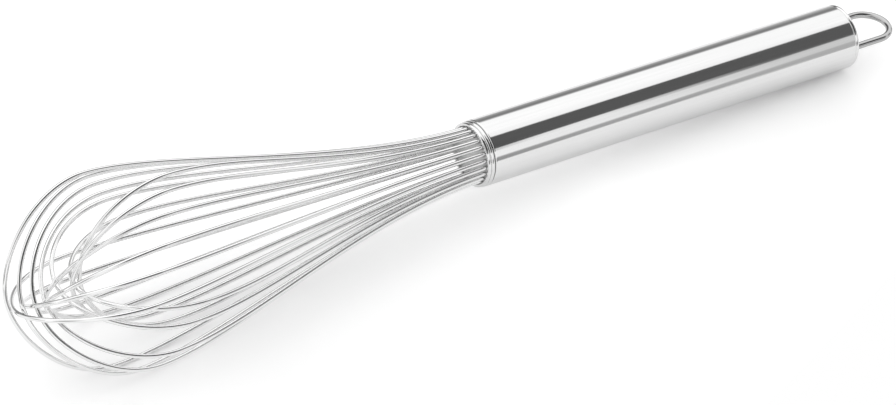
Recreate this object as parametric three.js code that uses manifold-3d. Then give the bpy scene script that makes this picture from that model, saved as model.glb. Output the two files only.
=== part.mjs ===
// Balloon whisk lying on a table, in millimetres, +Z up.
// The whisk is built along its own axis: the mouth of the handle is at x = 0, the handle runs to +X
// and the wire cage to -X. It is then rolled and tilted on to the plane z = 0, where it rests on its
// two lowest wires and on the rear edge of the handle. The origin is the middle of its footprint.

import * as THREE from "three";
import { mergeVertices } from "three/addons/utils/BufferGeometryUtils.js";
import Module from "manifold-3d";

// Handle tube
const HANDLE_DIAMETER = 23;
const HANDLE_LENGTH = 153;
const HANDLE_WALL = 0.7;
const HANDLE_EDGE = 0.5; // rounding of the tube's outer edges

// Clearances
const FIT_GAP = 0.3; // between two pieces that seat on each other
const WIRE_GAP = 0.2; // round a cage wire, where the core, the ferrule and the resin hold it

// Ferrule: a turned ring that lines the mouth and ends in a round bead, its lip
const FERRULE_WALL = 0.4;
const FERRULE_LENGTH = 14; // spigot inside the tube
const LIP_LENGTH = 2.3;
const LIP_SETBACK = 0.2; // the lip stays this far inside the tube's outer surface

// Core and resin: the core's grooves space the wire legs, the resin behind it grips their ends
const CORE_RECESS = 0.5; // from the lip's front to the core's face
const LEG_GRIP = 6; // length of each wire leg that the resin holds
const RESIN_BACK = 4; // solid resin behind the wire ends

// Cage
const WIRE_DIAMETER = 1.6;
const CAGE_REACH = 179.2; // mouth to the tip of the outermost loop, on the wire's centre line
const BELLY_DIAMETER = 65.8; // across the outermost loop, on the wire's centre line
const BELLY_DISTANCE = 145.2; // mouth to the widest place of the outermost loop
const MOUTH_PULL = 50; // how far the wire keeps the mouth's direction as it swings out
const BELLY_REAR_PULL = 30; // how far it keeps the belly's direction, towards the mouth
const BELLY_FRONT_PULL = 18; // the same towards the tip
const TIP_PULL = 14; // how far it keeps the tip's direction
const TIP_GAP = 0.8; // clearance between one loop's tip and the next one inside it
const BELLY_STEP = 0.45; // each loop's belly lies this far inside the one before
const WIRE_TURN = 4.1; // degrees from straight down, towards -Y, to place 0 on the wire circle
const FIRST_PLACE = 1; // place of the outermost loop
// Used wires drift a little: how far each loop's tip stands off the handle's axis, to +Y and
// upwards, from the outermost loop inwards. There are as many loops as rows.
const TIP_DRIFT = [
  [-0.5, 3.5],
  [-6, -0.5],
  [-2.5, 0.5],
  [-2.5, -1.5],
  [-4, -2.5],
  [-2.5, -3],
  [-2.5, -5],
  [3.5, -4],
  [-1.5, 0],
  [-6.5, 7.5],
  [-6.5, 1.5],
  [-1, 4.5],
];

// End cap and hanging loop
const CAP_WALL = 0.7;
const CAP_DEPTH = 10; // skirt inside the tube
const CAP_RISE = 1; // height of the cap's crown above its rim
const HANGER_DIAMETER = 2.4;
const HANGER_INSET = 0.5; // between a leg of the hanging loop and the cap's skirt
const HANGER_REACH = 20; // from the handle's end to the loop's far side, on the wire's centre line
const HANGER_LEG = 8; // length of each leg inside the cap

// Facets
const ROUND_SEGMENTS = 44;
const EDGE_SEGMENTS = 3;
const WIRE_SIDES = 6;
const HANGER_SIDES = 10;
const HOLE_SEGMENTS = 10;
const LEG_STEPS = 1;
const SWING_STEPS = 10;
const HEAD_STEPS = 14;
const BOW_STEPS = 10;

// Sizes that follow
const handleRadius = HANDLE_DIAMETER / 2;
const tubeBore = handleRadius - HANDLE_WALL;
const spigotRadius = tubeBore - FIT_GAP;
const ferruleBore = spigotRadius - FERRULE_WALL;
const wireRadius = WIRE_DIAMETER / 2;
const wireCircle = ferruleBore - WIRE_GAP - wireRadius;
const coreRadius = ferruleBore - FIT_GAP;
const lipFront = -LIP_LENGTH;
const coreFront = lipFront + CORE_RECESS;
const coreBack = FERRULE_LENGTH;
const resinFront = coreBack + FIT_GAP;
const legLength = resinFront + LEG_GRIP;
const pocketEnd = legLength + FIT_GAP;
const resinBack = pocketEnd + RESIN_BACK;
const loopCount = TIP_DRIFT.length;
const wirePitch = Math.PI / loopCount;
const nestStep = WIRE_DIAMETER + TIP_GAP;
const wireTurn = THREE.MathUtils.degToRad(WIRE_TURN);
const capRadius = tubeBore - FIT_GAP;
const skirtBore = capRadius - CAP_WALL;
const hangerRadius = HANGER_DIAMETER / 2;
const hangerHalf = skirtBore - HANGER_INSET - hangerRadius;
const hangerHole = hangerRadius + FIT_GAP;

const STEEL = { color: 0xc6c9cb, roughness: 0.24, metalness: 1 };
const WIRE_STEEL = { color: 0xd3d6d8, roughness: 0.2, metalness: 1 };
const NYLON = { color: 0xb9bcbd, roughness: 0.55, metalness: 0 };
const RESIN = { color: 0xc9b98c, roughness: 0.35, metalness: 0 };

const wasm = await Module();
wasm.setup();

function mesh(name, geometry, finish) {
  const made = new THREE.Mesh(geometry, new THREE.MeshStandardMaterial(finish));
  made.name = name;
  return made;
}

// Solids for cutting and joining
function solidOf(geometry) {
  const bare = geometry.clone();
  bare.deleteAttribute("normal");
  bare.deleteAttribute("uv");
  const merged = mergeVertices(bare, 1e-4);
  return new wasm.Manifold(
    new wasm.Mesh({
      numProp: 3,
      vertProperties: new Float32Array(merged.attributes.position.array),
      triVerts: new Uint32Array(merged.index.array),
    }),
  );
}

function geometryOf(solid) {
  const { vertProperties, triVerts } = solid.getMesh();
  const geometry = new THREE.BufferGeometry();
  geometry.setAttribute("position", new THREE.BufferAttribute(vertProperties, 3));
  geometry.setIndex(new THREE.BufferAttribute(triVerts, 1));
  geometry.computeVertexNormals();
  return geometry;
}

// A body turned about the X axis from an outline of (radius, x) points.
function revolve(outline) {
  const points = outline.getPoints(EDGE_SEGMENTS);
  const anticlockwise = THREE.ShapeUtils.area(points) > 0;
  const profile = anticlockwise ? points : points.reverse();
  return new THREE.LatheGeometry(profile, ROUND_SEGMENTS).rotateZ(-Math.PI / 2);
}

// A round bar parallel to the X axis, from x0 to x1, through (y, z).
function bar(radius, x0, x1, y, z, segments) {
  const geometry = new THREE.CylinderGeometry(radius, radius, x1 - x0, segments);
  return geometry.rotateZ(-Math.PI / 2).translate((x0 + x1) / 2, y, z);
}

// A path that runs along the half curves, and back along their mirror image.
// Its steps follow the half curves' own step counts, so they crowd where the wire bends.
class MirroredPath extends THREE.Curve {
  constructor(half, place) {
    super();
    this.half = half;
    this.place = place;
    this.halfSteps = half.reduce((sum, run) => sum + run.steps, 0);
  }

  getPoint(t) {
    let step = (1 - Math.abs(2 * t - 1)) * this.halfSteps;
    const side = t < 0.5 ? 1 : -1;
    for (const { curve, steps } of this.half) {
      if (step <= steps) {
        const { x, y } = curve.getPoint(step / steps);
        return this.place(x, side * y);
      }
      step -= steps;
    }
    const tip = this.half.at(-1).curve.getPoint(1);
    return this.place(tip.x, side * tip.y);
  }

  getUtoTmapping(u) {
    return u;
  }

  get steps() {
    return 2 * this.halfSteps;
  }
}

function wireAlong(path, radius, sides) {
  const corners = [];
  for (let i = 0; i < sides; i++) {
    const angle = (2 * Math.PI * i) / sides;
    corners.push(new THREE.Vector2(radius * Math.cos(angle), radius * Math.sin(angle)));
  }
  return new THREE.ExtrudeGeometry(new THREE.Shape(corners), {
    steps: path.steps,
    bevelEnabled: false,
    extrudePath: path,
  });
}

// Angle of a wire about the axis, from straight down towards -Y.
function wireAngle(place) {
  return wireTurn + place * wirePitch;
}

// The loops cross in turn: from one to the next inwards is a quarter turn, and each pair moves on
// by one place.
function placeOf(nest) {
  return FIRST_PLACE + Math.floor(nest / 2) + (nest % 2) * (loopCount / 2);
}

// Centre line of one loop of the cage, in distance from the mouth and in radius:
// a straight leg in the handle, a swing out to the belly, and a round head that crosses the axis.
function loopPath(nest) {
  const reach = CAGE_REACH - nest * nestStep;
  const belly = BELLY_DISTANCE - nest * nestStep;
  const radius = BELLY_DIAMETER / 2 - nest * BELLY_STEP;
  const at = (distance, r) => new THREE.Vector2(distance, r);
  const leg = new THREE.LineCurve(at(-legLength, wireCircle), at(0, wireCircle));
  const swing = new THREE.CubicBezierCurve(
    at(0, wireCircle),
    at(MOUTH_PULL, wireCircle),
    at(belly - BELLY_REAR_PULL, radius),
    at(belly, radius),
  );
  const head = new THREE.CubicBezierCurve(
    at(belly, radius),
    at(belly + BELLY_FRONT_PULL, radius),
    at(reach, TIP_PULL),
    at(reach, 0),
  );
  const angle = wireAngle(placeOf(nest));
  const [sideways, upward] = TIP_DRIFT[nest];
  const half = [
    { curve: leg, steps: LEG_STEPS },
    { curve: swing, steps: SWING_STEPS },
    { curve: head, steps: HEAD_STEPS },
  ];
  return new MirroredPath(half, (distance, r) => {
    const share = (Math.max(distance, 0) / CAGE_REACH) ** 2;
    const y = share * sideways - r * Math.sin(angle);
    const z = share * upward - r * Math.cos(angle);
    return new THREE.Vector3(-distance, y, z);
  });
}

// Bars on the wire circle, one for each wire leg, to cut its seat.
function legSeats(x0, x1) {
  const seats = [];
  for (let wire = 0; wire < 2 * loopCount; wire++) {
    const angle = wireAngle(wire);
    const y = -wireCircle * Math.sin(angle);
    const z = -wireCircle * Math.cos(angle);
    seats.push(solidOf(bar(wireRadius + WIRE_GAP, x0, x1, y, z, HOLE_SEGMENTS)));
  }
  return seats;
}

function handleTube() {
  const outline = new THREE.Path();
  outline.moveTo(tubeBore, 0);
  outline.lineTo(handleRadius - HANDLE_EDGE, 0);
  outline.absarc(handleRadius - HANDLE_EDGE, HANDLE_EDGE, HANDLE_EDGE, -Math.PI / 2, 0, false);
  const end = HANDLE_LENGTH - HANDLE_EDGE;
  outline.absarc(handleRadius - HANDLE_EDGE, end, HANDLE_EDGE, 0, Math.PI / 2, false);
  outline.lineTo(tubeBore, HANDLE_LENGTH);
  outline.lineTo(tubeBore, 0);
  return revolve(outline);
}

function mouthFerrule() {
  const lipRadius = handleRadius - LIP_SETBACK;
  const lipBack = -FIT_GAP;
  const beadRadius = (lipRadius + ferruleBore) / 2;
  const beadMiddle = (lipFront + lipBack) / 2;
  const beadRise = lipRadius - beadRadius;
  const beadHalf = beadMiddle - lipFront;
  const back = Math.acos((spigotRadius - beadRadius) / beadRise);
  const outline = new THREE.Path();
  outline.moveTo(ferruleBore, coreBack);
  outline.lineTo(ferruleBore, beadMiddle);
  const turns = [Math.PI, 1.5 * Math.PI, 2 * Math.PI, 2 * Math.PI + back];
  for (let i = 0; i < turns.length - 1; i++)
    outline.absellipse(beadRadius, beadMiddle, beadRise, beadHalf, turns[i], turns[i + 1], false);
  outline.lineTo(spigotRadius, coreBack);
  outline.lineTo(ferruleBore, coreBack);
  return revolve(outline);
}

function wireCore() {
  let core = solidOf(bar(coreRadius, coreFront, coreBack, 0, 0, ROUND_SEGMENTS));
  for (const seat of legSeats(coreFront - FIT_GAP, coreBack + FIT_GAP)) core = core.subtract(seat);
  return geometryOf(core);
}

function resinSeal() {
  let resin = solidOf(bar(spigotRadius, resinFront, resinBack, 0, 0, ROUND_SEGMENTS));
  for (const seat of legSeats(resinFront - FIT_GAP, pocketEnd)) resin = resin.subtract(seat);
  return geometryOf(resin);
}

// A pressed cup with a crowned face, flush with the handle's end, and two holes for the loop's legs.
function endCap() {
  const crownRadius = (capRadius ** 2 + CAP_RISE ** 2) / (2 * CAP_RISE);
  const crownCentre = HANDLE_LENGTH + CAP_RISE - crownRadius;
  const crownAngle = Math.asin(capRadius / crownRadius);
  const innerFace = HANDLE_LENGTH - CAP_WALL;
  const outline = new THREE.Path();
  outline.moveTo(0, innerFace);
  outline.lineTo(skirtBore, innerFace);
  outline.lineTo(skirtBore, HANDLE_LENGTH - CAP_DEPTH);
  outline.lineTo(capRadius, HANDLE_LENGTH - CAP_DEPTH);
  outline.absarc(0, crownCentre, crownRadius, Math.PI / 2 - crownAngle, Math.PI / 2, false);
  outline.lineTo(0, innerFace);
  let cap = solidOf(revolve(outline));
  for (const side of [-1, 1]) {
    const cutEnd = HANDLE_LENGTH + 2 * CAP_RISE;
    const hole = bar(hangerHole, innerFace - FIT_GAP, cutEnd, side * hangerHalf, 0, HOLE_SEGMENTS);
    cap = cap.subtract(solidOf(hole));
  }
  return geometryOf(cap);
}

// A wire bow: two legs in the end cap and a half circle between them, in the XY plane.
function hangingLoop() {
  const bowStart = HANDLE_LENGTH + HANGER_REACH - hangerHalf;
  const legStart = HANDLE_LENGTH - HANGER_LEG;
  const leg = new THREE.LineCurve(
    new THREE.Vector2(legStart, hangerHalf),
    new THREE.Vector2(bowStart, hangerHalf),
  );
  const bow = new THREE.EllipseCurve(bowStart, 0, hangerHalf, hangerHalf, Math.PI / 2, 0, true);
  const half = [
    { curve: leg, steps: LEG_STEPS },
    { curve: bow, steps: BOW_STEPS },
  ];
  const path = new MirroredPath(half, (x, y) => new THREE.Vector3(x, y, 0));
  return wireAlong(path, hangerRadius, HANGER_SIDES);
}

// Resting pose
function root(f, low, high) {
  const rising = f(high) > f(low);
  for (let i = 0; i < 40; i++) {
    const middle = (low + high) / 2;
    if (f(middle) > 0 === rising) high = middle;
    else low = middle;
  }
  return (low + high) / 2;
}

// How far the lowest wire on one side of the axis reaches below the mouth's centre.
function wireDrop(points, roll, tilt, side) {
  let drop = 0;
  for (const { x, y, z } of points) {
    const across = y * Math.cos(roll) - z * Math.sin(roll);
    const up = y * Math.sin(roll) + z * Math.cos(roll);
    if (across * side > 0) drop = Math.max(drop, x * Math.sin(tilt) - up * Math.cos(tilt));
  }
  return drop + wireRadius;
}

function handleDrop(tilt) {
  const end = HANDLE_LENGTH - HANDLE_EDGE;
  return end * Math.sin(tilt) + (handleRadius - HANDLE_EDGE) * Math.cos(tilt) + HANDLE_EDGE;
}

function restTilt(points, roll) {
  const cageDrop = (tilt) =>
    Math.max(wireDrop(points, roll, tilt, -1), wireDrop(points, roll, tilt, 1));
  return root((tilt) => handleDrop(tilt) - cageDrop(tilt), 0, Math.PI / 6);
}

function restRoll(points) {
  const difference = (roll) => {
    const tilt = restTilt(points, roll);
    return wireDrop(points, roll, tilt, 1) - wireDrop(points, roll, tilt, -1);
  };
  return root(difference, -wirePitch / 2, wirePitch / 2);
}

// Assembly
const rolled = new THREE.Group();
rolled.add(mesh("handle_tube", handleTube(), STEEL));
rolled.add(mesh("mouth_ferrule", mouthFerrule(), STEEL));
rolled.add(mesh("wire_core", wireCore(), NYLON));
rolled.add(mesh("resin_seal", resinSeal(), RESIN));
rolled.add(mesh("end_cap", endCap(), STEEL));
rolled.add(mesh("hanging_loop", hangingLoop(), WIRE_STEEL));

const wirePoints = [];
for (let nest = 0; nest < loopCount; nest++) {
  const path = loopPath(nest);
  wirePoints.push(...path.getSpacedPoints(path.steps));
  const name = "wire_loop_" + String(nest + 1).padStart(2, "0");
  rolled.add(mesh(name, wireAlong(path, wireRadius, WIRE_SIDES), WIRE_STEEL));
}

rolled.rotation.x = restRoll(wirePoints);
const tilted = new THREE.Group();
tilted.rotation.y = restTilt(wirePoints, rolled.rotation.x);
tilted.add(rolled);

// The origin goes to the middle of the footprint, on the table.
const whisk = new THREE.Group();
whisk.add(tilted);
whisk.updateMatrixWorld(true);
const box = new THREE.Box3().setFromObject(tilted, true);
tilted.position.set(-(box.min.x + box.max.x) / 2, -(box.min.y + box.max.y) / 2, -box.min.z);

export default whisk;
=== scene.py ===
import math

import bmesh
import bpy
import numpy as np
from mathutils import Matrix, Vector
from mathutils.geometry import delaunay_2d_cdt


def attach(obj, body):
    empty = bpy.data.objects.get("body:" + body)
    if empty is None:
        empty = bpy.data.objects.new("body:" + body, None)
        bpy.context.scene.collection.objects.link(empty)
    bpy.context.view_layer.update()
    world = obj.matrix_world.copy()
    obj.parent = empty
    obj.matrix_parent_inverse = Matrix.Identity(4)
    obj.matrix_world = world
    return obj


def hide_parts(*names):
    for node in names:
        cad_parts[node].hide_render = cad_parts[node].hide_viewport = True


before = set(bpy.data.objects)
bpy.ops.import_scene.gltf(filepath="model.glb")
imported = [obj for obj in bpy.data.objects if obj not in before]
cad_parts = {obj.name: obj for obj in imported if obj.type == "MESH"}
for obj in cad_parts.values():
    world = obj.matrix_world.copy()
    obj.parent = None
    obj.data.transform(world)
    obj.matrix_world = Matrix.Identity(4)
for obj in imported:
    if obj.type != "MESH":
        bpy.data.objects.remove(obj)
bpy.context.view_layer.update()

# Sizes are in millimetres in the whisk's own frame: the mouth of the handle is at x = 0,
# the handle runs to +X and the wire cage to -X.
MM = 0.001
MOUTH = (2.78539026, 3.41512809, 21.04396498)  # the mouth's centre in the row frame
TILT = math.radians(3.59645348)
ROLL = math.radians(1.73388623)

HANDLE_RADIUS = 11.5
HANDLE_LENGTH = 153.0
FRONT_EDGE = (0.5, 0.5)  # rounding of the tube, along it and across its wall
REAR_EDGE = (0.5, 0.35)
REAR_BEAD = (1.4, 11.0, 0.4)  # the rolled rim: its width, foot radius and rise
TUBE_BORE = 10.8
SPIGOT_RADIUS = 10.5
FERRULE_BORE = 10.1
FERRULE_LENGTH = 14.0
LIP_BEADS = [(-2.9, -1.55, 11.25), (-1.55, -0.15, 11.45)]  # (front, back, radius)
LIP_GROOVE = 10.85
CORE_FRONT = -1.8
CORE_BACK = 14.0
CORE_RADIUS = 10.05
CORE_CHAMFER = 0.06
WIRE_RADIUS = 0.8
WIRE_CIRCLE = 9.1
SEAT_RADIUS = 0.84
LEG_LENGTH = 20.3
CAGE_REACH = 179.2
BELLY_RADIUS = 32.9
BELLY_DISTANCE = 145.2
MOUTH_PULL = 50.0
BELLY_REAR_PULL = 30.0
BELLY_FRONT_PULL = 18.0
TIP_PULL = 14.0
NEST_STEP = 2.4
BELLY_STEP = 0.45
WIRE_TURN = math.radians(4.1)
FIRST_PLACE = 1
# How far each loop's tip stands off the handle's axis, to +Y and upwards, outermost loop first
TIP_DRIFT = [
    (-0.5, 3.5), (-6.0, -0.5), (-2.5, 0.5), (-2.5, -1.5), (-4.0, -2.5), (-2.5, -3.0),
    (-2.5, -5.0), (3.5, -4.0), (-1.5, 0.0), (-6.5, 7.5), (-6.5, 1.5), (-1.0, 4.5),
]
LOOP_COUNT = len(TIP_DRIFT)
WIRE_PITCH = math.pi / LOOP_COUNT
CAP_RADIUS = 10.5
CAP_BORE = 9.8
CAP_WALL = 0.7
CAP_DEPTH = 10.0
CAP_RISE = 1.0
CAP_EDGE = 0.25
HANGER_RADIUS = 1.2
HANGER_HALF = 8.1
HANGER_HOLE = 1.3
HANGER_REACH = 20.0
HANGER_LEG = 8.0

# Fineness
ROUND_STEPS = 192
EDGE_STEPS = 8
LEG_STEPS = 6
SWING_STEPS = 64
HEAD_STEPS = 80
WIRE_SIDES = 16
BOW_STEPS = 48
HANGER_SIDES = 24
HOLE_STEPS = 24
DISC_STEP = 0.8  # millimetres between the points of a pierced face
ANY_SIDE = (0.3, 0.5, 0.8)  # a direction in which no wire starts
SMOOTH_ANGLE = math.radians(32)

# Layout of a wire's UVs: the share of the square for its side, and a small spot for either end
WIRE_UV_SHARE = 0.97
END_SPOTS = [(0.02, 0.985), (0.05, 0.985)]
END_SPOT_RADIUS = 0.01

# Grain of the materials, as noise scales per metre along the grain's three axes
WEAR_SCALE = (55, 120, 120)  # clouds of wear on steel
BAND_SHARE = 0.45  # of broad bands among fine lines
WEAR_SHARE = 0.35
MOULD_CLOUDS = (260, 260, 260)
MOULD_GRAIN = (4200, 4200, 4200)
TONES = (0.3, 0.7)  # noise levels of the dark and the light colour
TURN_GRAIN = 5.0  # millimetres of grain for each radian round a turned face

# Camera, with the picture taken as 896 x 405
PICTURE = (896, 405)
SENSOR_WIDTH = 36.0
FOCAL_PIXELS = 4498.8
CAMERA_DISTANCE = 1.5  # metres from the mouth's centre
CAMERA_AZIMUTH = math.radians(-33.576)
CAMERA_ELEVATION = math.radians(35.9)
MOUTH_PIXEL = (477.06, 153.10)

# Studio
WHITE = (1, 1, 1, 1)
FLOOR_FRONT = (-0.318, -0.037)  # metres, at the left and at the right
FLOOR_BACK = 0.37
FLOOR_LEFT = -0.4
FLOOR_RIGHT = 0.25
FLOOR_COLOUR = (0.93, 0.93, 0.93, 1)
# What the camera sees added to the floor, along X: (metres, level in front, level under the whisk).
# Beyond lifting the open floor to white, this is painted light and shade: the levels change along X to
# lighten the shadow near the mouth and leave it darker at the rear, and they are higher under the whisk
# to lighten the floor seen through the cage.
FLOOR_LIFT_AND_PAINTED_LIGHT = [
    (-0.14, 0.12, 0.19),
    (-0.10, 0.08, 0.17),
    (-0.02, 0.12, 0.19),
    (0.045, 0.20, 0.20),
    (0.10, 0.12, 0.12),
    (0.14, 0.07, 0.07),
    (0.17, 0.15, 0.15),
]
# Painted light: across this span of Y the floor's added glow rises to the level under the whisk, which
# lightens the shadow seen through the cage.
FLOOR_UNDER_PAINTED_LIGHT = (-0.01, 0.012)  # metres along Y, from the first of the two levels to the second
SKY_LEVEL = 1.0  # on matt surfaces
SUN_STRENGTH = 0.25
SUN_ANGLE = math.radians(80)
SUN_TURN = (math.radians(10), math.radians(-12), 0)
# The studio's light by the angle about the X axis from the front horizon:
# (degrees, level that the cage sees, level at the handle's mouth, level at its rear)
STUDIO = [
    (-20.0, 0.95, 0.95, 0.5),
    (-10.0, 0.95, 0.95, 0.5),
    (-9.0, 0.3, 0.38, 0.5),
    (2.0, 0.3, 0.45, 0.5),
    (6.0, 1.1, 1.0, 0.70),
    (24.5, 1.1, 1.0, 0.70),
    (27.0, 0.06, 1.0, 0.15),
    (31.8, 0.05, 1.0, 0.11),
    (33.8, 0.05, 0.11, 0.11),
    (73.0, 0.05, 0.11, 0.11),
    (75.5, 0.06, 1.1, 1.08),
    (92.0, 1.3, 1.2, 1.18),
    (143.0, 1.3, 1.2, 1.18),
    (152.0, 0.12, 0.28, 0.28),
    (160.0, 0.10, 0.23, 0.23),
    (180.0, 0.4, 0.5, 0.5),
]
SIDES = [(0.38, 0.46), (0.50, 0.60)]  # X of the direction, from one column to the next
END_LEVEL = 1.0  # of a plain light near either end, with its share by X of the direction
ENDS = [
    (-1.0, 0), (-0.9, 0), (-0.8, 1), (-0.6, 1), (-0.35, 0), (0.78, 0), (0.84, 1), (0.9, 1), (0.95, 0),
]

POSE = np.array(Matrix.Rotation(TILT, 3, "Y") @ Matrix.Rotation(ROLL, 3, "X"))


def placed(points):
    """Points of the whisk's own frame, in millimetres, as points of the row frame, in metres."""
    return (np.asarray(points, float) @ POSE.T + np.array(MOUTH)) * MM


def new_piece(name, points, faces, grain, material, nodes, face_uvs=None):
    """A visual piece in place of CAD nodes. The grain is a vector for each point, in millimetres."""
    mesh = bpy.data.meshes.new(name)
    mesh.from_pydata(placed(points).tolist(), [], faces)
    along = mesh.attributes.new("grain", "FLOAT_VECTOR", "POINT")
    along.data.foreach_set("vector", (np.asarray(grain, np.float32) * MM).ravel())
    if face_uvs is not None:
        layer = mesh.uv_layers.new(name="OFBake")
        layer.uv.foreach_set("vector", np.asarray(face_uvs, np.float32).ravel())
    made = bmesh.new()
    made.from_mesh(mesh)
    bmesh.ops.recalc_face_normals(made, faces=made.faces)
    made.to_mesh(mesh)
    made.free()
    piece = bpy.data.objects.new(name, mesh)
    bpy.context.scene.collection.objects.link(piece)
    return finished(piece, material, nodes)


def finished(piece, material, nodes):
    piece.data.shade_smooth()
    piece.data.set_sharp_from_angle(angle=SMOOTH_ANGLE)
    piece.data.materials.clear()
    piece.data.materials.append(material)
    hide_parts(*nodes)
    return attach(piece, "root")


def skin(rows, columns, closed):
    """Faces of a grid of points that wraps round its columns, and round its rows if closed."""
    faces, uvs = [], []
    last = rows if closed else rows - 1
    for i in range(last):
        for j in range(columns):
            k = (j + 1) % columns
            n = (i + 1) % rows
            faces.append((i * columns + j, i * columns + k, n * columns + k, n * columns + j))
            u0, u1 = i / last, (i + 1) / last
            v0, v1 = j / columns, (j + 1) / columns
            uvs += [(u0, v0), (u0, v1), (u1, v1), (u1, v0)]
    return faces, uvs


def turned(name, profile, material, nodes):
    """A ring turned about the X axis from a closed outline of (x, radius) points."""
    angles = np.linspace(0, 2 * math.pi, ROUND_STEPS, endpoint=False)
    outline = np.asarray(profile, float)
    x = np.repeat(outline[:, :1], ROUND_STEPS, axis=1)
    y = outline[:, 1:] * np.cos(angles)
    z = outline[:, 1:] * np.sin(angles)
    points = np.stack([x, y, z], axis=2).reshape(-1, 3)
    faces, uvs = skin(len(outline), ROUND_STEPS, True)
    return new_piece(name, points, faces, points, material, nodes, uvs)


def ellipse(x, r, half_x, half_r, start, end, steps=EDGE_STEPS):
    """Points of (x, radius) on an ellipse about (x, r). Angles are from the X axis, in degrees."""
    angles = np.radians(np.linspace(start, end, steps + 1))
    return [(x + half_x * math.cos(a), r + half_r * math.sin(a)) for a in angles]


def circle(y, z, radius, steps):
    angles = np.linspace(0, 2 * math.pi, steps, endpoint=False)
    return np.stack([y + radius * np.cos(angles), z + radius * np.sin(angles)], axis=1)


def pierced_disc(radius, holes, hole_radius):
    """A disc with round holes: its (y, z) points, of which the rim and the holes' edges come first,
    its triangles, and the rim and the edges as lists of points."""
    loops = [circle(0, 0, radius, ROUND_STEPS)]
    loops += [circle(*hole, hole_radius, HOLE_STEPS) for hole in holes]
    points = list(np.vstack(loops))
    edges, rims, start = [], [], 0
    for loop in loops:
        ring = list(range(start, start + len(loop)))
        edges += list(zip(ring, ring[1:] + ring[:1]))
        rims.append(ring)
        start += len(loop)
    for ring in np.arange(DISC_STEP, radius - DISC_STEP / 2, DISC_STEP):
        for point in circle(0, 0, ring, max(6, round(2 * math.pi * ring / DISC_STEP))):
            if all(np.linalg.norm(point - hole) > hole_radius + DISC_STEP / 3 for hole in holes):
                points.append(point)
    flat = [Vector(point) for point in points]
    made = delaunay_2d_cdt(flat, edges, [], 0, 1e-6)
    source = [origin[0] for origin in made[3]]
    faces = []
    for face in made[2]:
        corners = [source[i] for i in face]
        middle = np.mean([points[i] for i in corners], axis=0)
        if all(np.linalg.norm(middle - hole) > hole_radius for hole in holes):
            faces.append(tuple(corners))
    return np.array(points), faces, rims


def band(ring, other):
    """Faces between two rings of as many points."""
    n = len(ring)
    return [(ring[i], ring[(i + 1) % n], other[(i + 1) % n], other[i]) for i in range(n)]


def plug(name, front, back, outline, holes, hole_radius, material, nodes):
    """A turned body with round holes through it. front and back give (radius, x of a radius), and
    the outline holds the (x, radius) rings of the side between them."""
    points, faces, rims = [], [], []
    for radius, face_x in (front, back):
        disc, triangles, loops = pierced_disc(radius, holes, hole_radius)
        start = len(points)
        points += [(face_x(math.hypot(y, z)), y, z) for y, z in disc]
        faces += [tuple(start + i for i in face) for face in triangles]
        rims.append([[start + i for i in loop] for loop in loops])
    for front_edge, back_edge in zip(rims[0][1:], rims[1][1:]):
        faces += band(front_edge, back_edge)
    last = rims[0][0]
    for x, radius in outline:
        ring = list(range(len(points), len(points) + ROUND_STEPS))
        points += [(x, y, z) for y, z in circle(0, 0, radius, ROUND_STEPS)]
        faces += band(last, ring)
        last = ring
    faces += band(last, rims[1][0])
    turned_grain = [(TURN_GRAIN * math.atan2(z, y), math.hypot(y, z), x) for x, y, z in points]
    return new_piece(name, points, faces, turned_grain, material, nodes)


def drawn(name, path, radius, sides, material, nodes):
    """A round wire along a path of points."""
    path = np.asarray(path, float)
    steps = np.diff(path, axis=0)
    lengths = np.linalg.norm(steps, axis=1)
    tangents = np.vstack([steps[:1], steps[1:] + steps[:-1], steps[-1:]])
    tangents /= np.linalg.norm(tangents, axis=1)[:, None]
    travel = np.concatenate([[0], np.cumsum(lengths)])
    side = np.cross(tangents[0], ANY_SIDE)
    angles = np.linspace(0, 2 * math.pi, sides, endpoint=False)[:, None]
    points, grain = [], []
    for at, tangent, run in zip(path, tangents, travel):
        side = side - tangent * (side @ tangent)
        side /= np.linalg.norm(side)
        other = np.cross(tangent, side)
        points.append(at + radius * (np.cos(angles) * side + np.sin(angles) * other))
        around = radius * np.hstack([np.cos(angles), np.sin(angles)])
        grain.append(np.hstack([np.full((sides, 1), run), around]))
    faces, uvs = skin(len(path), sides, False)
    last = (len(path) - 1) * sides
    faces += [tuple(range(sides)), tuple(range(last, last + sides))]
    uvs = [(u, WIRE_UV_SHARE * v) for u, v in uvs]
    for spot in END_SPOTS:
        uvs += circle(*spot, END_SPOT_RADIUS, sides).tolist()
    return new_piece(
        name, np.vstack(points), faces, np.vstack(grain), material, nodes, uvs
    )


# Node helpers
def add(tree, kind, inputs=(), **settings):
    """A node with its settings, and with its inputs set to values or linked to sockets."""
    made = tree.nodes.new(kind)
    for name, value in settings.items():
        setattr(made, name, value)
    for socket, value in dict(inputs).items():
        if isinstance(value, bpy.types.NodeSocket):
            tree.links.new(value, made.inputs[socket])
        else:
            made.inputs[socket].default_value = value
    return made


def noise(tree, vector, stretch, detail=2.0, roughness=0.5):
    """Noise whose scale along each axis is given per metre."""
    mapped = add(tree, "ShaderNodeMapping", {"Vector": vector, "Scale": stretch})
    made = add(
        tree,
        "ShaderNodeTexNoise",
        {"Vector": mapped.outputs[0], "Scale": 1.0, "Detail": detail, "Roughness": roughness},
    )
    return made.outputs["Fac"]


def ramp(tree, value, stops):
    """Colours between stops of (value from 0 to 1, colour)."""
    made = add(tree, "ShaderNodeValToRGB", {"Fac": value})
    elements = made.color_ramp.elements
    stops = list(stops)
    while len(elements) < len(stops):
        elements.new(1.0)
    for element, (position, colour) in zip(elements, stops):
        element.position = position
        element.color = (*colour, 1)
    return made.outputs["Color"]


def spread(tree, value, low, high, source=(0.25, 0.75)):
    """A value of the source range on the range from low to high, and held within it."""
    made = add(
        tree,
        "ShaderNodeMapRange",
        {"Value": value, "From Min": source[0], "From Max": source[1], "To Min": low, "To Max": high},
    )
    return made.outputs["Result"]


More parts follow.
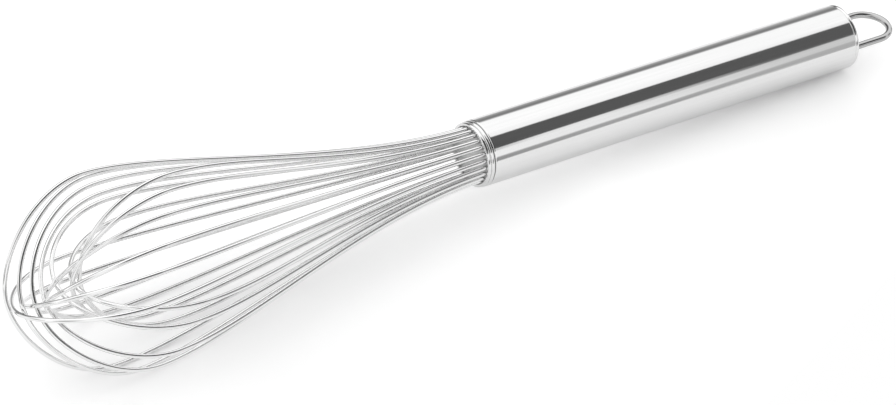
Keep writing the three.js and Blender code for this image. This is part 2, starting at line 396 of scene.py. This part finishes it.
def ramps(tree, value, rows):
    """One ramp of greys for each column of levels in rows of (value, level, ...)."""
    low, high = rows[0][0], rows[-1][0]
    place = spread(tree, value, 0.0, 1.0, (low, high))
    values, *columns = zip(*rows)
    stops = [(at - low) / (high - low) for at in values]
    return [ramp(tree, place, zip(stops, [(level,) * 3 for level in column])) for column in columns]


def bumped(tree, height, lift):
    inputs = {"Strength": 1.0, "Distance": lift * MM, "Height": height}
    return add(tree, "ShaderNodeBump", inputs).outputs[0]


def mixed(tree, a, b, share):
    made = add(tree, "ShaderNodeMix", {"Factor": share, "A": a, "B": b})
    return made.outputs[0]


def new_material(name):
    material = bpy.data.materials.new(name)
    material.use_nodes = True
    material.node_tree.nodes.clear()
    return material, material.node_tree


def shade(tree, inputs):
    shader = add(tree, "ShaderNodeBsdfPrincipled", inputs)
    add(tree, "ShaderNodeOutputMaterial", {"Surface": shader.outputs[0]})


def steel(name, dark, light, smooth, rough, fine, broad, lift):
    """Bright steel with fine lines along the grain attribute's first axis."""
    material, tree = new_material(name)
    grain = add(tree, "ShaderNodeAttribute", attribute_name="grain").outputs["Vector"]
    lines = noise(tree, grain, fine, detail=3.0, roughness=0.6)
    bands = noise(tree, grain, broad)
    clouds = noise(tree, grain, WEAR_SCALE, detail=3.0, roughness=0.6)
    tone = mixed(tree, lines, bands, BAND_SHARE)
    wear = mixed(tree, tone, clouds, WEAR_SHARE)
    shade(
        tree,
        {
            "Base Color": ramp(tree, tone, zip(TONES, (dark, light))),
            "Metallic": 1.0,
            "Roughness": spread(tree, wear, smooth, rough),
            "Normal": bumped(tree, lines, lift),
        },
    )
    return material


def moulded(name, dark, light, smooth, rough, lift):
    """Plastic with a fine moulded grain and slight clouds of colour."""
    material, tree = new_material(name)
    place = add(tree, "ShaderNodeTexCoord").outputs["Object"]
    clouds = noise(tree, place, MOULD_CLOUDS, detail=3.0)
    grain = noise(tree, place, MOULD_GRAIN)
    shade(
        tree,
        {
            "Base Color": ramp(tree, clouds, zip(TONES, (dark, light))),
            "Roughness": spread(tree, grain, smooth, rough),
            "Normal": bumped(tree, grain, lift),
        },
    )
    return material


def grey(level):
    return (level, level, level)


HANDLE_STEEL = steel(
    "handle_steel", dark=grey(0.775), light=grey(0.835), smooth=0.05, rough=0.12,
    fine=(30, 5500, 5500), broad=(9, 900, 900), lift=0.0006,
)
WIRE_STEEL = steel(
    "wire_steel", dark=grey(0.845), light=grey(0.925), smooth=0.03, rough=0.09,
    fine=(45, 5000, 5000), broad=(14, 1400, 1400), lift=0.0008,
)
# Painted shade: the hanging loop's steel is made much darker than the wires' steel. This stands in for
# the dark reflections on its outer side.
HANGER_PAINTED_SHADE_STEEL = steel(
    "hanger_steel_painted_shade", dark=grey(0.45), light=grey(0.57), smooth=0.08, rough=0.16,
    fine=(45, 5000, 5000), broad=(14, 1400, 1400), lift=0.0008,
)
CORE_NYLON = moulded(
    "core_nylon", dark=(0.74, 0.74, 0.735), light=(0.83, 0.83, 0.825), smooth=0.42, rough=0.6, lift=0.012,
)
SEAL_RESIN = moulded(
    "seal_resin", dark=(0.66, 0.59, 0.41), light=(0.77, 0.70, 0.52), smooth=0.25, rough=0.4, lift=0.004,
)


# Handle and mouth
def handle_outline():
    front = ellipse(FRONT_EDGE[0], HANDLE_RADIUS - FRONT_EDGE[1], *FRONT_EDGE, 180, 90)
    width, foot, rise = REAR_BEAD
    rear_x = HANDLE_LENGTH - width - REAR_EDGE[0]
    rear = ellipse(rear_x, HANDLE_RADIUS - REAR_EDGE[1], *REAR_EDGE, 90, 0)
    rim = ellipse(HANDLE_LENGTH - width / 2, foot, width / 2, rise, 180, 0, 2 * EDGE_STEPS)
    return [(0, TUBE_BORE)] + front + rear + rim + [(HANDLE_LENGTH, TUBE_BORE)]


def ferrule_outline():
    """A spigot inside the tube that ends at the mouth in a lip of two round beads."""
    points = []
    for front, back, radius in LIP_BEADS:
        middle, half = (front + back) / 2, (back - front) / 2
        points += ellipse(middle, LIP_GROOVE, half, radius - LIP_GROOVE, 180, 0, 2 * EDGE_STEPS)
    front, back = LIP_BEADS[0][0], LIP_BEADS[-1][1]
    inner_middle, inner = (LIP_GROOVE + FERRULE_BORE) / 2, (LIP_GROOVE - FERRULE_BORE) / 2
    turn_in = ellipse(front + inner, inner_middle, inner, inner, 270, 180)
    spigot = [(back, SPIGOT_RADIUS), (FERRULE_LENGTH, SPIGOT_RADIUS), (FERRULE_LENGTH, FERRULE_BORE)]
    return turn_in[:-1] + points + spigot


turned("handle_tube_fine", handle_outline(), HANDLE_STEEL, ["handle_tube"])
turned("mouth_ferrule_fine", ferrule_outline(), HANDLE_STEEL, ["mouth_ferrule"])

wire_angles = [WIRE_TURN + wire * WIRE_PITCH for wire in range(2 * LOOP_COUNT)]
plug(
    "wire_core_fine",
    (CORE_RADIUS - CORE_CHAMFER, lambda r: CORE_FRONT),
    (CORE_RADIUS, lambda r: CORE_BACK),
    [(CORE_FRONT + CORE_CHAMFER, CORE_RADIUS)],
    [(-WIRE_CIRCLE * math.sin(a), -WIRE_CIRCLE * math.cos(a)) for a in wire_angles],
    SEAT_RADIUS, CORE_NYLON, ["wire_core"],
)


# Cage
def bezier(a, b, c, d, steps):
    t = np.linspace(0, 1, steps + 1)[:, None]
    a, b, c, d = (np.array(p, float) for p in (a, b, c, d))
    return a * (1 - t) ** 3 + 3 * b * t * (1 - t) ** 2 + 3 * c * t**2 * (1 - t) + d * t**3


def loop_path(nest):
    """Centre line of one loop: a leg in the handle, a swing to the belly and a head across the axis."""
    reach = CAGE_REACH - nest * NEST_STEP
    belly = BELLY_DISTANCE - nest * NEST_STEP
    radius = BELLY_RADIUS - nest * BELLY_STEP
    leg = np.linspace((-LEG_LENGTH, WIRE_CIRCLE), (0, WIRE_CIRCLE), LEG_STEPS + 1)
    swing = bezier(
        (0, WIRE_CIRCLE),
        (MOUTH_PULL, WIRE_CIRCLE),
        (belly - BELLY_REAR_PULL, radius),
        (belly, radius),
        SWING_STEPS,
    )
    head = bezier(
        (belly, radius),
        (belly + BELLY_FRONT_PULL, radius),
        (reach, TIP_PULL),
        (reach, 0),
        HEAD_STEPS,
    )
    half = np.vstack([leg, swing[1:], head[1:]])
    whole = np.vstack([half, (half * (1, -1))[-2::-1]])
    place = FIRST_PLACE + nest // 2 + nest % 2 * LOOP_COUNT // 2
    angle = WIRE_TURN + place * WIRE_PITCH
    distance, r = whole[:, 0], whole[:, 1]
    share = (np.maximum(distance, 0) / CAGE_REACH) ** 2
    sideways, upward = TIP_DRIFT[nest]
    y = share * sideways - r * math.sin(angle)
    z = share * upward - r * math.cos(angle)
    return np.stack([-distance, y, z], axis=1)


for nest in range(LOOP_COUNT):
    node = f"wire_loop_{nest + 1:02d}"
    drawn(
        node + "_fine", loop_path(nest), WIRE_RADIUS, WIRE_SIDES,
        WIRE_STEEL, [node],
    )


# Hanging loop and end cap
def hanger_path():
    bow_start = HANDLE_LENGTH + HANGER_REACH - HANGER_HALF
    angles = np.linspace(math.pi / 2, -math.pi / 2, 2 * BOW_STEPS + 1)
    bow = [
        (bow_start + HANGER_HALF * math.cos(a), HANGER_HALF * math.sin(a), 0) for a in angles
    ]
    leg_start = HANDLE_LENGTH - HANGER_LEG
    return [(leg_start, HANGER_HALF, 0)] + bow + [(leg_start, -HANGER_HALF, 0)]


drawn(
    "hanging_loop_fine", hanger_path(), HANGER_RADIUS, HANGER_SIDES,
    HANGER_PAINTED_SHADE_STEEL, ["hanging_loop"],
)

CROWN_RADIUS = (CAP_RADIUS**2 + CAP_RISE**2) / (2 * CAP_RISE)


def crown_x(r):
    return HANDLE_LENGTH + CAP_RISE - CROWN_RADIUS + math.sqrt(CROWN_RADIUS**2 - r**2)


plug(
    "end_cap_fine",
    (CAP_RADIUS - CAP_EDGE, crown_x),
    (CAP_BORE, lambda r: HANDLE_LENGTH - CAP_WALL),
    ellipse(
        HANDLE_LENGTH - 2 * CAP_EDGE, CAP_RADIUS - CAP_EDGE,
        2 * CAP_EDGE + crown_x(CAP_RADIUS - CAP_EDGE) - HANDLE_LENGTH, CAP_EDGE, 0, 90,
    )[1:] + [(HANDLE_LENGTH - CAP_DEPTH, CAP_RADIUS), (HANDLE_LENGTH - CAP_DEPTH, CAP_BORE)],
    [(side * HANGER_HALF, 0) for side in (-1, 1)],
    HANGER_HOLE, HANDLE_STEEL, ["end_cap"],
)

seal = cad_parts["resin_seal"]
seal.data.materials.clear()
seal.data.materials.append(SEAL_RESIN)


# Floor
def floor_material():
    """Matt white, which the camera sees lifted to white outside the shadow. The lift changes along X and
    is higher under the whisk: painted light that lightens the shadow in places.
    """
    material, tree = new_material("floor")
    place = add(tree, "ShaderNodeTexCoord").outputs["Object"]
    parts = add(tree, "ShaderNodeSeparateXYZ", {0: place}).outputs
    # Painted light and shade on the floor: a glow for camera rays whose level changes with the place on
    # the floor.
    painted_light_glows = [
        add(tree, "ShaderNodeEmission", {"Color": level}).outputs[0]
        for level in ramps(tree, parts["X"], FLOOR_LIFT_AND_PAINTED_LIGHT)
    ]
    under = spread(tree, parts["Y"], 0.0, 1.0, FLOOR_UNDER_PAINTED_LIGHT)
    floor_glow_with_painted_light = add(tree, "ShaderNodeMixShader", {0: under, 1: painted_light_glows[0], 2: painted_light_glows[1]}).outputs[0]
    matt = add(tree, "ShaderNodeBsdfDiffuse", {"Color": FLOOR_COLOUR}).outputs[0]
    lifted = add(tree, "ShaderNodeAddShader", {0: matt, 1: floor_glow_with_painted_light}).outputs[0]
    camera = add(tree, "ShaderNodeLightPath").outputs["Is Camera Ray"]
    surface = add(tree, "ShaderNodeMixShader", {0: camera, 1: matt, 2: lifted}).outputs[0]
    add(tree, "ShaderNodeOutputMaterial", {"Surface": surface})
    return material


floor_mesh = bpy.data.meshes.new("floor")
corners = [
    (FLOOR_LEFT, FLOOR_FRONT[0], 0), (FLOOR_RIGHT, FLOOR_FRONT[1], 0),
    (FLOOR_RIGHT, FLOOR_BACK, 0), (FLOOR_LEFT, FLOOR_BACK, 0),
]
floor_mesh.from_pydata(corners, [], [(0, 1, 2, 3)])
floor_mesh.materials.append(floor_material())
floor = bpy.data.objects.new("floor", floor_mesh)
bpy.context.scene.collection.objects.link(floor)


# Light
def studio_world():
    """A plain sky that metal sees as bands of light along the handle, and the camera as white."""
    world = bpy.data.worlds.new("studio")
    world.use_nodes = True
    tree = world.node_tree
    tree.nodes.clear()

    def light(colour, strength=1.0):
        made = add(tree, "ShaderNodeBackground", {"Color": colour, "Strength": strength})
        return made.outputs[0]

    def pick(share, first, second):
        return add(tree, "ShaderNodeMixShader", {0: share, 1: first, 2: second}).outputs[0]

    def reckon(operation, *values):
        return add(tree, "ShaderNodeMath", enumerate(values), operation=operation).outputs[0]

    direction = add(tree, "ShaderNodeTexCoord").outputs["Generated"]
    parts = add(tree, "ShaderNodeSeparateXYZ", {0: direction}).outputs
    front = reckon("MULTIPLY", parts["Y"], -1.0)
    degrees = reckon("DEGREES", reckon("ARCTAN2", parts["Z"], front))
    bands, *others = [light(level) for level in ramps(tree, degrees, STUDIO)]
    for other, side in zip(others, SIDES):
        bands = pick(spread(tree, parts["X"], 0.0, 1.0, side), bands, other)
    ends = ramps(tree, parts["X"], ENDS)[0]
    bands = pick(ends, bands, light(WHITE, END_LEVEL))

    paths = add(tree, "ShaderNodeLightPath").outputs
    shiny = reckon("MAXIMUM", paths["Is Glossy Ray"], paths["Is Transmission Ray"])
    seen = pick(shiny, light(WHITE, SKY_LEVEL), bands)
    seen = pick(paths["Is Camera Ray"], seen, light(WHITE))
    add(tree, "ShaderNodeOutputWorld", {"Surface": seen})
    return world


bpy.context.scene.world = studio_world()

sun = bpy.data.lights.new("soft_sun", "SUN")
sun.energy = SUN_STRENGTH
sun.angle = SUN_ANGLE
sun_object = bpy.data.objects.new("soft_sun", sun)
sun_object.rotation_euler = SUN_TURN
sun_object.visible_glossy = False
bpy.context.scene.collection.objects.link(sun_object)


# Camera
def add_camera():
    az, el = CAMERA_AZIMUTH, CAMERA_ELEVATION
    back = Vector((math.sin(az) * math.cos(el), -math.cos(az) * math.cos(el), math.sin(el)))
    right = Vector((math.cos(az), math.sin(az), 0))
    up = back.cross(right)
    per_pixel = CAMERA_DISTANCE / FOCAL_PIXELS
    across = (MOUTH_PIXEL[0] - PICTURE[0] / 2) * per_pixel
    down = (MOUTH_PIXEL[1] - PICTURE[1] / 2) * per_pixel
    place = Vector(MOUTH) * MM + back * CAMERA_DISTANCE - right * across + up * down
    lens = bpy.data.cameras.new("camera")
    lens.sensor_fit = "HORIZONTAL"
    lens.sensor_width = SENSOR_WIDTH
    lens.lens = FOCAL_PIXELS / PICTURE[0] * SENSOR_WIDTH
    camera = bpy.data.objects.new("camera", lens)
    camera.matrix_world = Matrix.Translation(place) @ Matrix((right, up, back)).transposed().to_4x4()
    bpy.context.scene.collection.objects.link(camera)
    bpy.context.scene.camera = camera


add_camera()
bpy.context.scene.view_settings.view_transform = "Standard"
